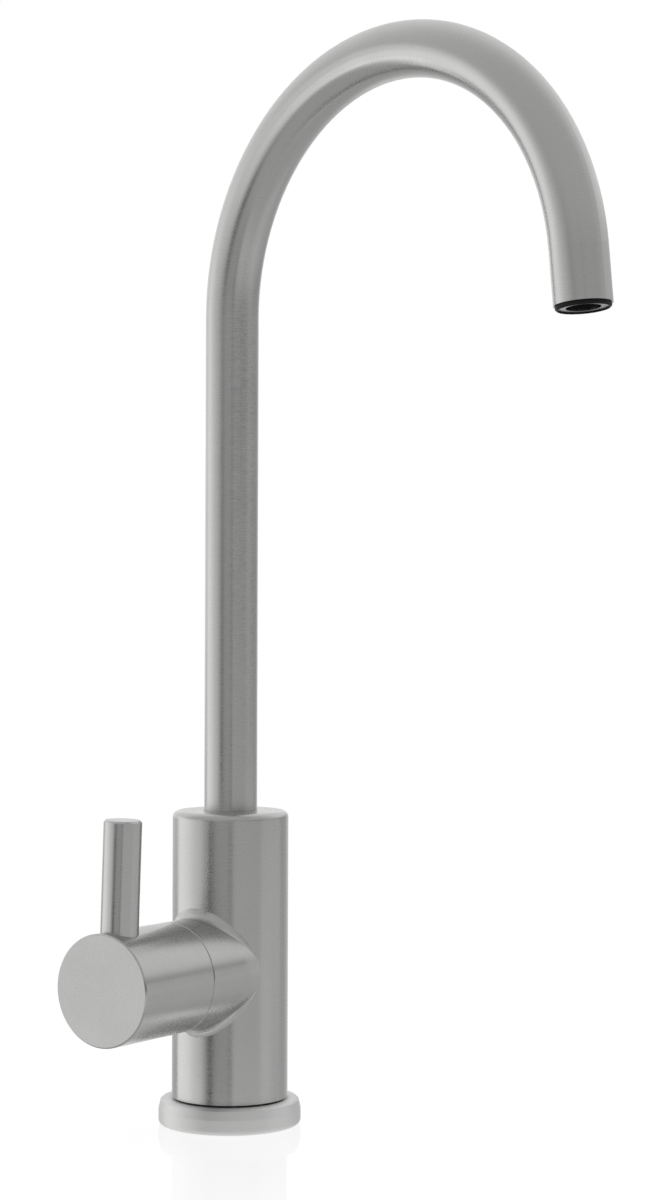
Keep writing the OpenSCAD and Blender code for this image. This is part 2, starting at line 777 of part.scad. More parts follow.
// The tube's three stretches meet on flat faces: the upright, the bend, cut square where the
// last stretch starts, and that stretch itself, thinner by a hair so that its edges lie inside.
module spout_tube() color(steel) swung() union() {
    ring(tube_bore_r, tube_r, tube_foot, bend_z);
    difference() {
        bend_frame() rotate_extrude(angle = bend_angle + bend_spare)
            translate([bend_r, 0]) difference() {
                circle(tube_r);
                circle(tube_bore_r);
            }
        bend_end() translate([-tube_d, -tube_d, 0]) cube(2 * tube_d);
    }
    bend_end() ring(tube_bore_r + bend_step, tube_r - bend_step, 0, tube_end);
}

module spout_ferrule() color(brass) rotate_extrude() difference() {
    union() {
        turn(ferrule_bore / 2, ferrule_r, ferrule_z, tube_foot);
        turn(ferrule_bore / 2, tube_bore_r - set_fit, tube_foot - past, tube_foot + ferrule_spigot);
    }
    for (z = [low_seal_z, high_seal_z])
        turn(seal_floor_r, tube_d, z, z + seal_groove_w);
    for (z = [low_bearing_z, high_bearing_z])
        turn(groove_floor_r, tube_d, z, z + bearing_w);
    turn(groove_floor_r, tube_d, retainer_groove_z, retainer_groove_end);
}

module spout_orings() color(rubber)
    for (z = [low_seal_z, high_seal_z]) translate([0, 0, z + seal_groove_w / 2])
        torus(seal_floor_r + spout_seal_r + seal_play, spout_seal_r);

module spout_bearing_rings() color(acetal) swung() difference() {
    for (z = [low_bearing_z, high_bearing_z])
        ring(groove_floor_r + set_fit, ferrule_r + run_fit / 2, z + set_fit, z + bearing_w - set_fit);
    translate([0, -bearing_slit / 2, low_bearing_z])
        cube([tube_d, bearing_slit, tube_foot - low_bearing_z]);
}

module spout_thrust_washer() color(acetal)
    ring(plenum_r, socket_r - set_fit, socket_floor, socket_floor + thrust_t);

module spout_retaining_screw() color(steel) translate([0, retainer_tip_y, retainer_z]) rotate([-90, 0, 0])
    grub_screw(retainer_d, retainer_head_y - retainer_tip_y, retainer_point_d, retainer_point_len);

module outlet_insert() color(rubber) outlet_frame() rotate_extrude() difference() {
    union() {
        turn(0, plug_r, -plug_len, past / 2);
        turn(0, plug_rim_d / 2, 0, plug_rim_h);
    }
    turn(0, plug_bore_r, -plug_len - past, -plug_lip);
    turn(0, jet_d / 2, -plug_lip - past, plug_rim_h + past);
    turn(0, jet_ring_r, jet_ring_face - jet_ring_t, plug_rim_h + past);
    translate([plug_rim_d / 2, plug_rim_h]) bevel_cut(plug_rim_bevel);
    turn(plug_r - plug_groove_depth, tube_d, plug_groove_at, plug_groove_at + plug_groove_w);
}

module jet_ring() color(bright) outlet_frame()
    ring(jet_d / 2, jet_ring_r - set_fit, jet_ring_face - jet_ring_t, jet_ring_face);

module flow_straightener() color(rubber) outlet_frame()
    translate([0, 0, -plug_lip - straightener_t]) linear_extrude(straightener_t) difference() {
        circle(plug_bore_r - set_fit);
        circle(d = straightener_hole);
        for (row = [1, 2]) for (i = [0 : 6 * row - 1])
            rotate(i * 60 / row) translate([row * straightener_pitch, 0]) circle(d = straightener_hole);
    }

module outlet_oring() color(rubber) outlet_frame() translate([0, 0, plug_groove_at + plug_groove_w / 2])
    torus(plug_r - plug_groove_depth + plug_seal_r + seal_play, plug_seal_r);

body();
base_flange();
body_seal_ring();
base_gasket();
shank();
shank_seal();
rubber_washer();
clamp_washer();
lock_washer();
fixing_nut();
cartridge_housing();
cartridge_oring();
seat_seal();
fixed_disc();
moving_disc();
spindle();
spindle_thrust_washer();
spindle_orings();
spindle_circlip();
stop_pin();
knob();
lever_rod();
knob_set_screw();
spout_tube();
spout_ferrule();
spout_orings();
spout_bearing_rings();
spout_thrust_washer();
spout_retaining_screw();
outlet_insert();
jet_ring();
flow_straightener();
outlet_oring();
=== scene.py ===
"""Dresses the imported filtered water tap: satin steel, rubber and brass finishes, a cut thread, a studio."""

import json
import math

import bpy
from bpy.props import FloatProperty, FloatVectorProperty, IntProperty, PointerProperty
from mathutils import Matrix, Vector


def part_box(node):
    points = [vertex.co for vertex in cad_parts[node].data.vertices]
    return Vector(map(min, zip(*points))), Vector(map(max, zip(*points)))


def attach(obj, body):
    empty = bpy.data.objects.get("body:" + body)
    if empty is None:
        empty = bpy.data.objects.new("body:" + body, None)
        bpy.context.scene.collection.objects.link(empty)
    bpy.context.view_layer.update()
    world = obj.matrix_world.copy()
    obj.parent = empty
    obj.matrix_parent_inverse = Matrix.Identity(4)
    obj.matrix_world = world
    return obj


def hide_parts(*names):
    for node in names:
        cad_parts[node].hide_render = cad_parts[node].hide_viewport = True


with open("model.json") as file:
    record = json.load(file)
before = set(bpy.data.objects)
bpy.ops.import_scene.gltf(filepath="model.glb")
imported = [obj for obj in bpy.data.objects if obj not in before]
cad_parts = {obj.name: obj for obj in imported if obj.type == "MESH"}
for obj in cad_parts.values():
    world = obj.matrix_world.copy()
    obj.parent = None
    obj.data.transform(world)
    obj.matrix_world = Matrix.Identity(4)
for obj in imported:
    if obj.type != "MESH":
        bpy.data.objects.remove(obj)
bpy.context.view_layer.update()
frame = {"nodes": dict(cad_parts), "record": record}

bl_info = {
    "name": "Filtered water tap",
    "version": (1, 0, 0),
    "blender": (4, 5, 0),
    "location": "View3D > Sidebar > Water tap",
    "description": "Finishes, cut thread and studio for a filtered water tap with a swan-neck spout",
    "category": "Object",
}

MM = 0.001
NODES = frame["nodes"]
COLUMN_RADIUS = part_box("body")[1].x
BASE_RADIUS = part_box("base_flange")[1].x

# The spout rises on the tap's own axis, so where its outlet hangs gives its plane and the radius of its bend.
SPOUT_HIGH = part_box("spout_tube")[1]
TUBE_RADIUS = SPOUT_HIGH.y
OUTLET_LOW, OUTLET_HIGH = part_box("jet_ring")
OUTLET_MIDDLE = (OUTLET_LOW + OUTLET_HIGH) / 2
SPOUT_SWING = math.atan2(-OUTLET_MIDDLE.x, -OUTLET_MIDDLE.y)
BEND_RADIUS = Vector((OUTLET_MIDDLE.x, OUTLET_MIDDLE.y)).length / 2
BEND_HEIGHT = SPOUT_HIGH.z - BEND_RADIUS - TUBE_RADIUS


class TapFinishSettings(bpy.types.PropertyGroup):
    """Colours and grain of the tap's materials."""

    steel_color: FloatVectorProperty(
        name="Steel", description="Colour of the satin steel", subtype="COLOR",
        default=(0.5, 0.5, 0.495), min=0, max=1)
    base_color: FloatVectorProperty(
        name="Base plate", description="Colour of the turned base plate", subtype="COLOR",
        default=(0.72, 0.72, 0.715), min=0, max=1)
    ring_color: FloatVectorProperty(
        name="Jet ring", description="Colour of the ring in the outlet", subtype="COLOR",
        default=(0.14, 0.14, 0.137), min=0, max=1)
    brass_color: FloatVectorProperty(
        name="Brass", description="Colour of the machined brass", subtype="COLOR",
        default=(0.62, 0.45, 0.2), min=0, max=1)
    black_color: FloatVectorProperty(
        name="Black plastic", description="Colour of the outlet plug", subtype="COLOR",
        default=(0.008, 0.008, 0.008), min=0, max=1)
    rubber_color: FloatVectorProperty(
        name="Rubber", description="Colour of the seals and washers", subtype="COLOR",
        default=(0.02, 0.02, 0.02), min=0, max=1)
    acetal_color: FloatVectorProperty(
        name="Acetal", description="Colour of the bearing rings", subtype="COLOR",
        default=(0.78, 0.77, 0.72), min=0, max=1)
    ceramic_color: FloatVectorProperty(
        name="Ceramic", description="Colour of the valve discs", subtype="COLOR",
        default=(0.82, 0.79, 0.72), min=0, max=1)
    steel_roughness: FloatProperty(
        name="Steel roughness", description="How matt the satin steel is", default=0.27, min=0.05, max=0.8)
    base_roughness: FloatProperty(
        name="Base roughness", description="How matt the turned base plate is", default=0.55, min=0.05, max=0.8)
    grain_width: FloatProperty(
        name="Grain width", description="Width of one brush mark", subtype="DISTANCE", unit="LENGTH",
        default=0.35 * MM, min=0.05 * MM)
    grain_length: FloatProperty(
        name="Grain length", description="Length of one brush mark", subtype="DISTANCE", unit="LENGTH",
        default=3 * MM, min=0.1 * MM)
    speckle_size: FloatProperty(
        name="Speckle size", description="Size of the satin's fine speckle", subtype="DISTANCE", unit="LENGTH",
        default=0.4 * MM, min=0.05 * MM)


class TapThreadSettings(bpy.types.PropertyGroup):
    """The shank and the thread that is cut into it."""

    bore: FloatProperty(
        name="Bore", description="Diameter of the shank's water way", subtype="DISTANCE", unit="LENGTH",
        default=6 * MM, min=MM)
    edge: FloatProperty(
        name="Edge", description="Bevel at the ends of the thread", subtype="DISTANCE", unit="LENGTH",
        default=0.6 * MM, min=0.1 * MM)
    stem_edge: FloatProperty(
        name="Stem edge", description="Bevel at the stem's lower end", subtype="DISTANCE", unit="LENGTH",
        default=0.8 * MM, min=0.1 * MM)
    pitch: FloatProperty(
        name="Pitch", description="Rise of the thread in one turn", subtype="DISTANCE", unit="LENGTH",
        default=1.27 * MM, min=0.5 * MM)
    depth: FloatProperty(
        name="Depth", description="Depth of the thread's groove", subtype="DISTANCE", unit="LENGTH",
        default=0.66 * MM, min=0.1 * MM)
    root: FloatProperty(
        name="Root", description="Width of the flat at the groove's floor", subtype="DISTANCE", unit="LENGTH",
        default=0.16 * MM, min=0.05 * MM)
    flank: FloatProperty(
        name="Flank", description="Slope of the groove's sides", subtype="ANGLE", unit="ROTATION",
        default=math.radians(30), min=0.2, max=0.8)
    steps: IntProperty(name="Steps", description="Flat steps in one turn", default=48, min=12, max=96)


class TapStageSettings(bpy.types.PropertyGroup):
    """The studio and its camera."""

    camera_place: FloatVectorProperty(
        name="Camera", description="Where the camera stands", subtype="TRANSLATION", unit="LENGTH",
        default=(-0.6320, -0.4624, 0.1582))
    camera_heading: FloatVectorProperty(
        name="Heading", description="Level direction in which the camera looks", subtype="DIRECTION",
        default=(0.8293, 0.5588, 0))
    camera_roll: FloatProperty(
        name="Roll", description="Turn of the camera about its own line of sight", subtype="ANGLE",
        unit="ROTATION", default=math.radians(-0.2))
    lens: FloatProperty(
        name="Lens", description="Focal length for a frame 36 mm tall", subtype="DISTANCE_CAMERA", unit="CAMERA",
        default=77.54, min=10)
    floor_size: FloatProperty(
        name="Floor", description="Side of the square floor", subtype="DISTANCE", unit="LENGTH",
        default=12, min=1)
    mirror_share: FloatProperty(
        name="Floor's mirror", description="How much the floor mirrors the base", subtype="FACTOR",
        default=0.14, min=0, max=1)
    mirror_reach: FloatProperty(
        name="Mirror reach", description="Distance from the tap at which that mirror has faded",
        subtype="DISTANCE", unit="LENGTH", default=0.25, min=0.01)
    glow_reach: FloatProperty(
        name="Glow reach", description="How far from the tap its steel mirrors the white floor",
        subtype="DISTANCE", unit="LENGTH", default=0.05, min=0.01)
    shadow_share: FloatProperty(
        name="Shadow", description="How much of the tap's shadow the floor shows", subtype="FACTOR",
        default=0.08, min=0, max=1)
    shadow_reach: FloatProperty(
        name="Shadow reach", description="Distance from the tap at which its shadow has faded",
        subtype="DISTANCE", unit="LENGTH", default=0.2, min=0.01)
    card_distance: FloatProperty(
        name="Card", description="Distance of the pale card at the tap's right", subtype="DISTANCE",
        unit="LENGTH", default=0.3, min=0.1)
    card_height: FloatProperty(
        name="Card height", description="Height of that card", subtype="DISTANCE", unit="LENGTH",
        default=0.092, min=0.01)
    card_width: FloatProperty(
        name="Card width", description="Width of that card", subtype="DISTANCE", unit="LENGTH",
        default=0.3, min=0.01)
    card_level: FloatProperty(
        name="Card level", description="Brightness of that card", default=0.68, min=0)


def finishes():
    return bpy.context.scene.tap_finishes


# Most of a noise texture's values lie in this span.
NOISE_SPAN = (0.3, 0.7)


class Graph:
    """Adds nodes to a node tree and links or sets their inputs."""

    def __init__(self, tree):
        self.tree = tree

    def add(self, kind, inputs=None, **settings):
        node = self.tree.nodes.new(kind)
        for name, value in settings.items():
            setattr(node, name, value)
        for key, value in (inputs or {}).items():
            if isinstance(value, bpy.types.NodeSocket):
                self.tree.links.new(value, node.inputs[key])
            else:
                node.inputs[key].default_value = value
        return node

    def link(self, output, node, name):
        self.tree.links.new(output, node.inputs[name])

    def math(self, operation, *values):
        node = self.add("ShaderNodeMath", dict(enumerate(values)), operation=operation)
        return node.outputs[0]

    def vector(self, operation, *values):
        node = self.add("ShaderNodeVectorMath", dict(enumerate(values)), operation=operation)
        return node.outputs["Value" if operation in ("DOT_PRODUCT", "LENGTH") else "Vector"]

    def combine(self, x=0, y=0, z=0):
        return self.add("ShaderNodeCombineXYZ", {"X": x, "Y": y, "Z": z}).outputs["Vector"]

    def separate(self, vector):
        return self.add("ShaderNodeSeparateXYZ", {"Vector": vector}).outputs

    def remap(self, value, span, low=0, high=1):
        """Goes softly from low to high while the value goes through the span."""
        inputs = {"Value": value, "From Min": span[0], "From Max": span[1], "To Min": low, "To Max": high}
        return self.add("ShaderNodeMapRange", inputs, interpolation_type="SMOOTHSTEP").outputs["Result"]

    def noise(self, vector, scale, detail):
        inputs = {"Vector": vector, "Scale": scale, "Detail": detail}
        return self.add("ShaderNodeTexNoise", inputs).outputs["Fac"]

    def about(self, middle, noise, spread):
        """A value that a noise moves to both sides of its middle."""
        return self.remap(noise, NOISE_SPAN, middle - spread, middle + spread)

    def mix_vectors(self, factor, first, second):
        return self.add("ShaderNodeMix", {"Factor": factor, 4: first, 5: second}, data_type="VECTOR").outputs[1]

    def mix_values(self, factor, first, second):
        return self.add("ShaderNodeMix", {"Factor": factor, "A": first, "B": second}).outputs["Result"]

    def mix_shaders(self, factor, first, second):
        return self.add("ShaderNodeMixShader", {0: factor, 1: first, 2: second}).outputs[0]

    def shade(self, color, factor, levels):
        """The given colour times a level between two."""
        ramp = self.add("ShaderNodeValToRGB", {"Fac": factor})
        for element, level in zip(ramp.color_ramp.elements, levels):
            element.color = (*(min(1, level * channel) for channel in color), 1)
        return ramp.outputs["Color"]


def object_place(graph):
    return graph.add("ShaderNodeTexCoord").outputs["Object"]


def level_part(graph, place):
    return graph.vector("MULTIPLY", place, (1, 1, 0))


# How far outside the column's surface its grain starts to turn into the branch's, and where it has done so.
BRANCH_START = 0.2 * MM
BRANCH_FULL = 6 * MM

# Each grain gives coordinates for brush marks and the direction across the marks, in which the gloss is stretched.


def stretched(graph, place, fine_axis):
    """Coordinates for brush marks: they change fast along the fine axis and slowly along the others."""
    fine, long = 1 / finishes().grain_width, 1 / finishes().grain_length
    return graph.vector("MULTIPLY", place, [fine if axis == fine_axis else long for axis in "XYZ"])


def column_grain(graph, place):
    """Marks run round the column, and round the branch where the surface leaves the column."""
    distance = graph.vector("LENGTH", level_part(graph, place))
    on_branch = graph.remap(distance, (COLUMN_RADIUS + BRANCH_START, COLUMN_RADIUS + BRANCH_FULL))
    marks = graph.mix_vectors(on_branch, stretched(graph, place, "Z"), stretched(graph, place, "X"))
    return marks, graph.mix_vectors(on_branch, (0, 0, 1), (1, 0, 0))


def drum_grain(graph, place):
    """Marks run round the valve's level axis."""
    return stretched(graph, place, "X"), graph.combine(x=1)


def rod_grain(graph, place):
    """Marks run round an upright rod."""
    return stretched(graph, place, "Z"), graph.combine(z=1)


def turned_grain(graph, place):
    """Marks run in circles about the tap's upright axis, on level faces and on upright ones."""
    spoke = level_part(graph, place)
    marks = graph.combine(
        graph.math("DIVIDE", graph.vector("LENGTH", spoke), finishes().grain_width),
        graph.math("DIVIDE", graph.separate(place)["Z"], finishes().grain_width))
    return marks, graph.vector("SUBTRACT", graph.vector("NORMALIZE", spoke), (0, 0, 1))


def ring_grain(graph, place):
    """Marks run in circles about the middle of the outlet."""
    spoke = graph.vector("SUBTRACT", place, OUTLET_MIDDLE)
    return graph.combine(graph.math("DIVIDE", graph.vector("LENGTH", spoke), finishes().grain_width)), spoke


def spout_grain(graph, place):
    """Marks run round the tube, on its upright and along its bend."""
    in_bend = graph.add("ShaderNodeMapping", {
        "Vector": place, "Rotation": (0, 0, SPOUT_SWING), "Location": (0, BEND_RADIUS, -BEND_HEIGHT),
    }).outputs["Vector"]
    axes = graph.separate(in_bend)
    across, up = axes["Y"], axes["Z"]
    turn = graph.math("ARCTAN2", up, across)
    past_half = graph.math("LESS_THAN", turn, -math.pi / 2)
    turn = graph.math("MULTIPLY_ADD", past_half, 2 * math.pi, turn)
    upright = graph.math("LESS_THAN", turn, 0)
    radius = graph.vector("LENGTH", graph.vector("MULTIPLY", in_bend, (0, 1, 1)))
    along = graph.mix_values(upright, graph.math("MULTIPLY", turn, BEND_RADIUS), up)
    outwards = graph.mix_values(upright, radius, across)
    tube_place = graph.combine(axes["X"], outwards, along)
    onwards = graph.combine(y=graph.math("MULTIPLY", up, -1), z=across)
    onwards = graph.mix_vectors(upright, onwards, (0, 0, 1))
    onwards = graph.add("ShaderNodeMapping", {"Vector": onwards, "Rotation": (0, 0, -SPOUT_SWING)})
    return stretched(graph, tube_place, "Z"), onwards.outputs["Vector"]


# How each finish varies: its shades, the spread of its roughness, the scale of its clouds and its relief.
SATIN_MARKS = 0.55
SATIN_SPECKLE = 0.45
SATIN_SHADES = (0.88, 1.12)
SATIN_SPREAD = 0.05
SATIN_CLOUD_SCALE = 60
SATIN_CLOUD_SPREAD = 0.02
SATIN_STRETCH = 0.75
SATIN_EDGE = 0.1 * MM
SATIN_RELIEF = {"Strength": 0.06, "Distance": 0.02 * MM}

TURNED_SHADES = (0.75, 1.2)
TURNED_SPREAD = 0.08
TURNED_CLOUD_SCALE = 150
TURNED_RELIEF = {"Strength": 0.3, "Distance": 0.03 * MM}

MOULDED_SHADES = (0.8, 1.2)
MOULDED_SPREAD = 0.07
MOULDED_CLOUD_SCALE = 120
MOULDED_RELIEF = {"Strength": 0.25, "Distance": 0.03 * MM}


def new_material(name):
    material = bpy.data.materials.new(name)
    material.use_nodes = True
    return material, Graph(material.node_tree), material.node_tree.nodes["Principled BSDF"]


def empty_material(name):
    material = bpy.data.materials.new(name)
    material.use_nodes = True
    material.node_tree.nodes.clear()
    return material, Graph(material.node_tree)


def satin_steel(name, color, grain, roughness):
    """Brushed steel: long fine marks, a finer speckle and broad soft clouds."""
    material, graph, shader = new_material(name)
    place = object_place(graph)
    mark_place, axis = grain(graph, place)
    marks = graph.noise(mark_place, 1, 3)
    speckle = graph.noise(place, 1 / finishes().speckle_size, 2)
    clouds = graph.noise(place, SATIN_CLOUD_SCALE, 2)
    surface = graph.math(
        "ADD", graph.math("MULTIPLY", marks, SATIN_MARKS), graph.math("MULTIPLY", speckle, SATIN_SPECKLE))
    graph.link(graph.shade(color, surface, SATIN_SHADES), shader, "Base Color")
    grained = graph.about(roughness, surface, SATIN_SPREAD)
    graph.link(graph.math("ADD", grained, graph.about(0, clouds, SATIN_CLOUD_SPREAD)), shader, "Roughness")
    soft_edges = graph.add("ShaderNodeBevel", {"Radius": SATIN_EDGE}, samples=4).outputs["Normal"]
    bump = graph.add("ShaderNodeBump", {**SATIN_RELIEF, "Height": surface, "Normal": soft_edges})
    graph.link(bump.outputs["Normal"], shader, "Normal")
    graph.link(axis, shader, "Tangent")
    shader.inputs["Anisotropic"].default_value = SATIN_STRETCH
    shader.inputs["Metallic"].default_value = 1
    return material


def machined_metal(name, color, grain, roughness):
    """Plain turned metal with visible tool marks."""
    material, graph, shader = new_material(name)
    place = object_place(graph)
    marks = graph.noise(grain(graph, place)[0], 1, 4)
    clouds = graph.noise(place, TURNED_CLOUD_SCALE, 3)
    graph.link(graph.shade(color, clouds, TURNED_SHADES), shader, "Base Color")
    graph.link(graph.about(roughness, marks, TURNED_SPREAD), shader, "Roughness")
    bump = graph.add("ShaderNodeBump", {**TURNED_RELIEF, "Height": marks})
    graph.link(bump.outputs["Normal"], shader, "Normal")
    shader.inputs["Metallic"].default_value = 1
    return material


def moulded(name, color, roughness, specular, texture_size):
    """Rubber, plastic or ceramic with a faint moulded or lapped texture."""
    material, graph, shader = new_material(name)
    place = object_place(graph)
    texture = graph.noise(place, 1 / texture_size, 3)
    clouds = graph.noise(place, MOULDED_CLOUD_SCALE, 2)
    graph.link(graph.shade(color, clouds, MOULDED_SHADES), shader, "Base Color")
    graph.link(graph.about(roughness, texture, MOULDED_SPREAD), shader, "Roughness")
    bump = graph.add("ShaderNodeBump", {**MOULDED_RELIEF, "Height": texture})
    graph.link(bump.outputs["Normal"], shader, "Normal")
    shader.inputs["Specular IOR Level"].default_value = specular
    return material


def paint(material, *names):
    """Gives CAD pieces their finish; their meshes stay as they are."""
    for name in names:
        paint_piece(NODES[name], material)


def paint_piece(piece, material):
    piece.data.materials.clear()
    piece.data.materials.append(material)


class TAP_OT_finish_column(bpy.types.Operator):
    """Satin steel on the column and its branch"""

    bl_idname = "tap.finish_column"
    bl_label = "Finish column"

    def execute(self, context):
        settings = finishes()
        paint(satin_steel("column_satin", settings.steel_color, column_grain, settings.steel_roughness), "body")
        return {"FINISHED"}


class TAP_OT_finish_knob(bpy.types.Operator):
    """Satin steel on the knob's drum and its lever"""

    bl_idname = "tap.finish_knob"
    bl_label = "Finish knob and lever"

    def execute(self, context):
        settings = finishes()
        paint(satin_steel("drum_satin", settings.steel_color, drum_grain, settings.steel_roughness), "knob")
        paint(satin_steel("lever_satin", settings.steel_color, rod_grain, settings.steel_roughness), "lever_rod")
        return {"FINISHED"}


class TAP_OT_finish_spout(bpy.types.Operator):
    """Satin steel on the swan-neck tube"""

    bl_idname = "tap.finish_spout"
    bl_label = "Finish spout"

    def execute(self, context):
        settings = finishes()
        paint(satin_steel("spout_satin", settings.steel_color, spout_grain, settings.steel_roughness), "spout_tube")
        return {"FINISHED"}


class TAP_OT_finish_base(bpy.types.Operator):
    """Turned steel on the base plate, and rubber on its rings and on the tap's other seals"""

    bl_idname = "tap.finish_base"
    bl_label = "Finish base and seals"

    def execute(self, context):
        settings = finishes()
        paint(satin_steel("base_turned", settings.base_color, turned_grain, settings.base_roughness), "base_flange")
        rubber = moulded("seal_rubber", settings.rubber_color, roughness=0.75, specular=0.3, texture_size=0.3 * MM)
        paint(rubber, "body_seal_ring", "base_gasket", "shank_seal", "rubber_washer", "cartridge_oring", "seat_seal",
              "spindle_orings", "spout_orings", "outlet_oring")
        return {"FINISHED"}


class TAP_OT_finish_outlet(bpy.types.Operator):
    """Black plastic on the outlet plug and turned steel on its ring"""

    bl_idname = "tap.finish_outlet"
    bl_label = "Finish outlet"

    def execute(self, context):
        settings = finishes()
        plastic = moulded("plug_plastic", settings.black_color, roughness=0.45, specular=0.1, texture_size=0.5 * MM)
        paint(plastic, "outlet_insert", "flow_straightener")
        paint(satin_steel("jet_ring_steel", settings.ring_color, ring_grain, settings.steel_roughness), "jet_ring")
        return {"FINISHED"}


class TAP_OT_finish_valve(bpy.types.Operator):
    """Brass, ceramic, acetal and steel on the small pieces of the valve and the bearings"""

    bl_idname = "tap.finish_valve"
    bl_label = "Finish valve and bearings"

    def execute(self, context):
        settings = finishes()
        paint(machined_metal("valve_brass", settings.brass_color, drum_grain, roughness=0.32),
              "cartridge_housing", "spindle")
        paint(machined_metal("bearing_brass", settings.brass_color, rod_grain, roughness=0.32), "spout_ferrule")
        ceramic = moulded("disc_ceramic", settings.ceramic_color, roughness=0.3, specular=0.6, texture_size=0.2 * MM)
        paint(ceramic, "fixed_disc", "moving_disc")
        acetal = moulded("bearing_acetal", settings.acetal_color, roughness=0.45, specular=0.5, texture_size=0.4 * MM)
        paint(acetal, "spindle_thrust_washer", "spout_bearing_rings", "spout_thrust_washer")
        paint(machined_metal("small_steel", settings.steel_color, rod_grain, roughness=0.3),
              "spindle_circlip", "stop_pin", "knob_set_screw", "spout_retaining_screw")
        return {"FINISHED"}


class TAP_OT_finish_fixing_set(bpy.types.Operator):
    """Turned steel and brass on the washers and nut under the worktop"""

    bl_idname = "tap.finish_fixing_set"
    bl_label = "Finish fixing set"

    def execute(self, context):
        settings = finishes()
        paint(machined_metal("washer_steel", settings.steel_color, turned_grain, roughness=0.34),
              "clamp_washer", "lock_washer")
        paint(machined_metal("nut_brass", settings.brass_color, rod_grain, roughness=0.34), "fixing_nut")
        return {"FINISHED"}


WELD_DISTANCE = 0.001 * MM
SHARP_EDGE = math.radians(25)
CUTTER_OVERHANG = 0.25
CUTTER_SPARE_TURNS = 2
LEAST_FACE_GAIN = 10


def deselect_everything():
    if bpy.context.mode != "OBJECT":
        bpy.ops.object.mode_set(mode="OBJECT")
    bpy.ops.object.select_all(action="DESELECT")


def draw_outline(name, points):
    """A closed outline in the XZ plane, drawn by extruding one vertex from corner to corner."""
    deselect_everything()
    bpy.ops.mesh.primitive_plane_add(size=MM, location=(0, 0, 0))
    piece = bpy.context.object
    piece.name = piece.data.name = name
    bpy.ops.object.mode_set(mode="EDIT")
    bpy.ops.mesh.merge(type="CENTER")
    place = Vector((0, 0, 0))
    for corner, (radius, height) in enumerate(points):
        target = Vector((radius, 0, height))
        if corner == 0:
            bpy.ops.transform.translate(value=target)
        else:
            bpy.ops.mesh.extrude_vertices_move(TRANSFORM_OT_translate={"value": target - place})
        place = target
    bpy.ops.mesh.select_all(action="SELECT")
    bpy.ops.mesh.edge_face_add()
    bpy.ops.mesh.delete(type="ONLY_FACE")
    bpy.ops.mesh.select_all(action="SELECT")
    return piece


def clean_mesh():
    """Merges doubles and turns all faces outwards, in edit mode."""
    bpy.ops.mesh.select_all(action="SELECT")
    bpy.ops.mesh.remove_doubles(threshold=WELD_DISTANCE)
    bpy.ops.mesh.normals_make_consistent(inside=False)
    bpy.ops.object.mode_set(mode="OBJECT")


class TAP_OT_cut_shank_thread(bpy.types.Operator):
    """Turns the shank with its stem and cuts the thread"""

    bl_idname = "tap.cut_shank_thread"
    bl_label = "Cut shank thread"

    def execute(self, context):
        settings = context.scene.tap_thread
        low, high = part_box("shank")
        stem = next(mount for mount in frame["record"]["mounts"] if mount["name"] == "supply_stem")
        stem_radius = stem["dims"]["r_mm"] * MM
        stem_top = 2 * stem["pos_m"][2] - low.z
        shank = self.turn_blank(settings, low.z, stem_top, high.z, stem_radius, high.x)
        cutter = self.wind_cutter(settings, stem_top, high.z, high.x)
        self.cut(shank, cutter)
        paint_piece(shank, machined_metal("shank_steel", finishes().steel_color, rod_grain, roughness=0.3))
        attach(shank, "tap_body")
        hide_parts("shank")
        return {"FINISHED"}

    def turn_blank(self, settings, foot, stem_top, top, stem_radius, radius):
        """The plain shank, with bevels at the ends of the stem and of the part that gets the thread."""
        bore = settings.bore / 2
        shank = draw_outline("threaded_shank", [
            (bore, foot), (stem_radius - settings.stem_edge, foot), (stem_radius, foot + settings.stem_edge),
            (stem_radius, stem_top), (radius - settings.edge, stem_top), (radius, stem_top + settings.edge),
            (radius, top - settings.edge), (radius - settings.edge, top), (bore, top),
        ])
        bpy.ops.mesh.spin(steps=settings.steps, angle=2 * math.pi, center=(0, 0, 0), axis=(0, 0, 1))
        clean_mesh()
        return shank

    def wind_cutter(self, settings, low, high, radius):
        """The groove's cross-section, wound up the shank from below the thread to above it."""
        floor = radius - settings.depth
        mouth = radius + settings.depth * CUTTER_OVERHANG
        half_floor = settings.root / 2
        half_mouth = half_floor + (mouth - floor) * math.tan(settings.flank)
        start = low - settings.pitch
        corners = [
            (floor, start - half_floor), (mouth, start - half_mouth),
            (mouth, start + half_mouth), (floor, start + half_floor),
        ]
        cutter = draw_outline("thread_cutter", corners)
        bpy.ops.object.mode_set(mode="OBJECT")
        winding = cutter.modifiers.new("winding", "SCREW")
        winding.angle = 2 * math.pi
        winding.screw_offset = settings.pitch
        winding.iterations = math.ceil((high - low) / settings.pitch) + CUTTER_SPARE_TURNS
        winding.steps = winding.render_steps = settings.steps
        bpy.ops.object.modifier_apply(modifier=winding.name)
        bpy.ops.object.mode_set(mode="EDIT")
        bpy.ops.mesh.select_all(action="SELECT")
        bpy.ops.mesh.fill_holes(sides=len(corners))
        clean_mesh()
        return cutter

    def cut(self, shank, cutter):
        deselect_everything()
        bpy.context.view_layer.objects.active = shank
        shank.select_set(True)
        plain_faces = len(shank.data.polygons)
        groove = shank.modifiers.new("groove", "BOOLEAN")
        groove.operation = "DIFFERENCE"
        groove.solver = "EXACT"
        groove.object = cutter
        bpy.ops.object.modifier_apply(modifier=groove.name)
        bpy.ops.object.shade_smooth_by_angle(angle=SHARP_EDGE)
        bpy.data.objects.remove(cutter)
        if len(shank.data.polygons) < LEAST_FACE_GAIN * plain_faces:
            raise RuntimeError("the thread wasn't cut")


# The camera's frame in millimetres and the distance in metres to which it sees.
FRAME_SIZE = 36
VIEW_DISTANCE = 100

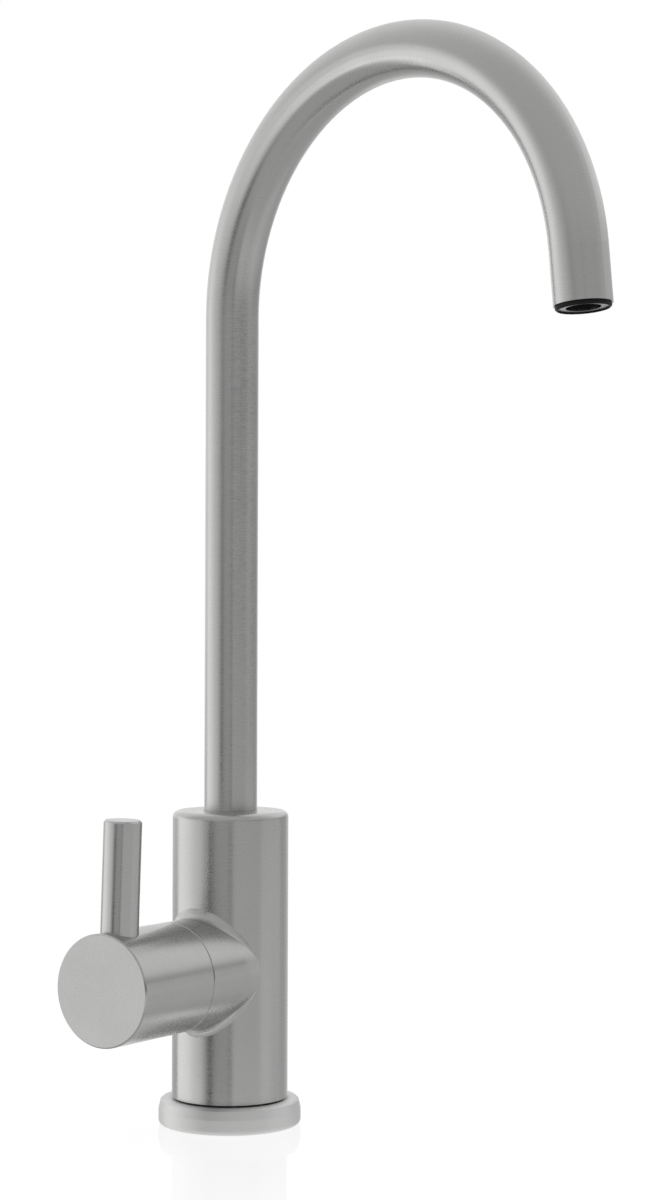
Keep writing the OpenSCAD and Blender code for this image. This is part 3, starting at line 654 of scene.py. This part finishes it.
FLOOR_GAP = 0.05 * MM
FLOOR_POLISH = 0.015
FLOOR_STEEP = (0.55, 0.8)
TAP_MIDDLE = Vector((0, 0, 0.15))
WHITE = (1, 1, 1, 1)
PALE = (0.9, 0.9, 0.9, 1)

# Brightness of the studio's walls above and below the horizon, by direction in degrees from the camera's
# side. Left is negative. The wall behind the tap is white, as the camera sees it.
STUDIO_PEAK = 1.9
STUDIO_WALLS = [
    (-180, 1.1, 1.0), (-168, 1.0, 0.8), (-156, 0.95, 0.6), (-129, 1.05, 0.5), (-122, 1.3, 1.3), (-104, 1.25, 1.3),
    (-88, 0.97, 1.3), (-72, 0.78, 1.05), (-62, 0.66, 1.0), (-53, 0.5, 0.78), (-45, 0.42, 0.36), (-40, 0.38, 0.06),
    (-35, 0.4, 0.06), (-31, 0.42, 0.38), (-24, 0.42, 0.46), (-3, 0.41, 0.48), (0, 0.29, 0.38), (5, 0.27, 0.33),
    (8, 0.28, 0.77), (62, 0.27, 0.73), (78, 0.42, 0.75), (88, 0.42, 0.72), (98, 0.36, 0.64), (112, 0.35, 0.62),
    (128, 0.37, 0.56), (140, 0.42, 0.53), (162, 0.75, 0.7), (180, 1.1, 1.0),
]

# Where those walls end, as the sine of the angle over the horizon, and the brightness beyond them. The ceiling
# is darker over the camera's side than over the tap's far side.
HORIZON = (-0.1, -0.03)
CEILING_EDGE = (0.1, 0.32)
CEILING_DEPTH = (-0.6, 0.3)
CEILING_FAR, CEILING_NEAR = 1.0, 0.61
GROUND_EDGE = (-0.56, -0.44)
GROUND_LEVEL = 0.55

# A low strip of light behind the tap at the left, which the arch mirrors.
STRIP_LOWER_EDGE = (-0.48, -0.42)
STRIP_UPPER_EDGE = (-0.38, -0.3)
STRIP_ASIDE = (-0.7, -0.5)
STRIP_AHEAD = (-0.2, 0.1)
STRIP_LEVEL = 1.8

STUDIO_LAMPS = [
    ("left_soft_box", (-0.5, 1.2, 0.7), 1.0, 12),
    ("top_soft_box", (-0.2, -0.3, 1.5), 1.2, 14),
    ("right_soft_box", (0.9, -0.9, 0.5), 0.9, 6),
]


def seen_by_camera(graph, rays):
    """1 for rays from the camera, straight or through a clear piece, and 0 for all others."""
    return graph.math("MAXIMUM", rays["Is Camera Ray"], rays["Is Transmission Ray"])


class TAP_OT_build_stage(bpy.types.Operator):
    """White floor, soft studio light and the camera"""

    bl_idname = "tap.build_stage"
    bl_label = "Build studio"

    def execute(self, context):
        settings = context.scene.tap_stage
        heading = Vector(settings.camera_heading).normalized()
        right = Vector((heading.y, -heading.x, 0))
        self.add_camera(settings, heading)
        self.light_world(-heading, right)
        self.lay_floor(settings)
        self.stand_card(settings, right)
        self.add_lamps()
        context.scene.view_settings.view_transform = "Standard"
        return {"FINISHED"}

    def add_camera(self, settings, heading):
        deselect_everything()
        level = heading.to_track_quat("-Z", "Y").to_matrix().to_4x4()
        turn = Matrix.Rotation(settings.camera_roll, 4, heading) @ level
        bpy.ops.object.camera_add(location=settings.camera_place, rotation=turn.to_euler())
        camera = bpy.context.object
        camera.name = "studio_camera"
        camera.data.lens = settings.lens
        camera.data.sensor_width = FRAME_SIZE
        camera.data.clip_end = VIEW_DISTANCE
        bpy.context.scene.camera = camera

    def light_world(self, front, right):
        """The camera sees white. The steel mirrors the walls round the tap, a ceiling, the ground and a strip."""
        world = bpy.data.worlds.new("studio_world")
        bpy.context.scene.world = world
        world.use_nodes = True
        world.node_tree.nodes.clear()
        graph = Graph(world.node_tree)
        direction = graph.add("ShaderNodeTexCoord").outputs["Generated"]
        ahead = graph.vector("DOT_PRODUCT", direction, front)
        aside = graph.vector("DOT_PRODUCT", direction, right)
        height = graph.separate(direction)["Z"]
        share = graph.math("MULTIPLY_ADD", graph.math("ARCTAN2", aside, ahead), 1 / (2 * math.pi), 0.5)
        above, below = (self.add_walls(graph, share, row) for row in (1, 2))
        level = graph.mix_values(graph.remap(height, HORIZON), below, above)
        ceiling = graph.remap(ahead, CEILING_DEPTH, CEILING_FAR / STUDIO_PEAK, CEILING_NEAR / STUDIO_PEAK)
        level = graph.mix_values(graph.remap(height, CEILING_EDGE), level, ceiling)
        level = graph.mix_values(graph.remap(height, GROUND_EDGE), GROUND_LEVEL / STUDIO_PEAK, level)
        strip = self.strip_share(graph, height, aside, ahead)
        level = graph.mix_values(strip, level, STRIP_LEVEL / STUDIO_PEAK)
        strength = graph.math("MULTIPLY", level, STUDIO_PEAK)
        studio = graph.add("ShaderNodeBackground", {"Color": WHITE, "Strength": strength}).outputs[0]
        white = graph.add("ShaderNodeBackground", {"Color": WHITE, "Strength": 1}).outputs[0]
        seen = seen_by_camera(graph, graph.add("ShaderNodeLightPath").outputs)
        graph.add("ShaderNodeOutputWorld", {"Surface": graph.mix_shaders(seen, studio, white)})

    def add_walls(self, graph, share, row):
        """One row of the walls' levels round the studio, as a share of its peak."""
        node = graph.add("ShaderNodeValToRGB", {"Fac": share})
        ramp = node.color_ramp
        while len(ramp.elements) < len(STUDIO_WALLS):
            ramp.elements.new(0.5)
        for element, wall in zip(ramp.elements, STUDIO_WALLS):
            element.position = wall[0] / 360 + 0.5
            element.color = (*(wall[row] / STUDIO_PEAK,) * 3, 1)
        return node.outputs["Color"]

    def strip_share(self, graph, height, aside, ahead):
        """1 in the strip of light and 0 round it, with soft edges."""
        lower, upper = graph.remap(height, STRIP_LOWER_EDGE), graph.remap(height, STRIP_UPPER_EDGE, 1, 0)
        strip = graph.math("MULTIPLY", lower, upper)
        strip = graph.math("MULTIPLY", strip, graph.remap(aside, STRIP_ASIDE, 1, 0))
        return graph.math("MULTIPLY", strip, graph.remap(ahead, STRIP_AHEAD, 1, 0))

    def lay_floor(self, settings):
        """The camera sees a white floor with a trace of the tap's shadow and a faint mirror image of its base.

        The steel mirrors that white close to the tap, where it looks steeply down. Elsewhere it sees the studio."""
        deselect_everything()
        bpy.ops.mesh.primitive_plane_add(size=settings.floor_size, location=(0, 0, -FLOOR_GAP))
        floor = bpy.context.object
        floor.name = "studio_floor"
        material, graph = empty_material("floor_white")
        distance = graph.vector("LENGTH", object_place(graph))
        share = graph.remap(distance, (BASE_RADIUS, settings.mirror_reach), settings.mirror_share, 0)
        near = graph.remap(distance, (BASE_RADIUS, settings.shadow_reach), settings.shadow_share, 0)
        lit = graph.add("ShaderNodeBsdfDiffuse", {"Color": PALE}).outputs[0]
        white = graph.add("ShaderNodeEmission", {"Color": WHITE, "Strength": 1}).outputs[0]
        mirror = graph.add("ShaderNodeBsdfGlossy", {"Color": WHITE, "Roughness": FLOOR_POLISH}).outputs[0]
        clear = graph.add("ShaderNodeBsdfTransparent", {"Color": WHITE}).outputs[0]
        polished = graph.mix_shaders(share, graph.mix_shaders(near, white, lit), mirror)
        rays = graph.add("ShaderNodeLightPath").outputs
        seen = seen_by_camera(graph, rays)
        surface = graph.mix_shaders(seen, lit, polished)
        grazing = graph.add("ShaderNodeLayerWeight", {"Blend": 0.5}).outputs["Facing"]
        steep = graph.remap(grazing, FLOOR_STEEP, 1, 0)
        close = graph.remap(distance, (settings.glow_reach / 2, settings.glow_reach), 1, 0)
        glow = graph.mix_shaders(graph.math("MULTIPLY", steep, close), clear, white)
        surface = graph.mix_shaders(rays["Is Glossy Ray"], surface, glow)
        graph.add("ShaderNodeOutputMaterial", {"Surface": surface})
        floor.data.materials.append(material)

    def stand_card(self, settings, right):
        """A low pale card that stands at the tap's right. Only the steel sees it, most of all the branch."""
        deselect_everything()
        place = settings.card_distance * right + Vector((0, 0, settings.card_height / 2))
        facing = right.to_track_quat("Z", "Y").to_euler()
        bpy.ops.mesh.primitive_plane_add(size=1, location=place, rotation=facing)
        card = bpy.context.object
        card.name = "studio_card"
        card.scale = (settings.card_width, settings.card_height, 1)
        material, graph = empty_material("card_pale")
        shine = graph.add("ShaderNodeEmission", {"Color": WHITE, "Strength": settings.card_level}).outputs[0]
        graph.add("ShaderNodeOutputMaterial", {"Surface": shine})
        card.data.materials.append(material)
        card.visible_camera = card.visible_diffuse = card.visible_shadow = card.visible_transmission = False

    def add_lamps(self):
        """Soft boxes for the black and rubber pieces; the steel sees the studio's walls."""
        for name, place, size, power in STUDIO_LAMPS:
            deselect_everything()
            towards = (TAP_MIDDLE - Vector(place)).to_track_quat("-Z", "Y").to_euler()
            bpy.ops.object.light_add(type="AREA", location=place, rotation=towards)
            lamp = bpy.context.object
            lamp.name = name
            lamp.data.shape = "SQUARE"
            lamp.data.size = size
            lamp.data.energy = power
            lamp.visible_glossy = False


class TAP_PT_sidebar(bpy.types.Panel):
    """Lists the steps that dress the tap"""

    bl_idname = "TAP_PT_sidebar"
    bl_label = "Filtered water tap"
    bl_space_type = "VIEW_3D"
    bl_region_type = "UI"
    bl_category = "Water tap"

    def draw(self, context):
        for operator in OPERATORS:
            self.layout.operator(operator.bl_idname)
        for group in SETTINGS:
            settings = getattr(context.scene, group)
            box = self.layout.box()
            for name in settings.__annotations__:
                box.prop(settings, name)


SETTINGS = {"tap_finishes": TapFinishSettings, "tap_thread": TapThreadSettings, "tap_stage": TapStageSettings}
OPERATORS = (
    TAP_OT_finish_column, TAP_OT_finish_knob, TAP_OT_finish_spout, TAP_OT_finish_base, TAP_OT_finish_outlet,
    TAP_OT_finish_valve, TAP_OT_finish_fixing_set, TAP_OT_cut_shank_thread, TAP_OT_build_stage,
)


def register():
    for cls in (*SETTINGS.values(), *OPERATORS, TAP_PT_sidebar):
        bpy.utils.register_class(cls)
    for name, cls in SETTINGS.items():
        setattr(bpy.types.Scene, name, PointerProperty(type=cls))


def unregister():
    for name in SETTINGS:
        delattr(bpy.types.Scene, name)
    for cls in reversed((*SETTINGS.values(), *OPERATORS, TAP_PT_sidebar)):
        bpy.utils.unregister_class(cls)


def main():
    register()
    for operator in OPERATORS:
        group, name = operator.bl_idname.split(".")
        getattr(getattr(bpy.ops, group), name)()


if __name__ == "__main__":
    main()
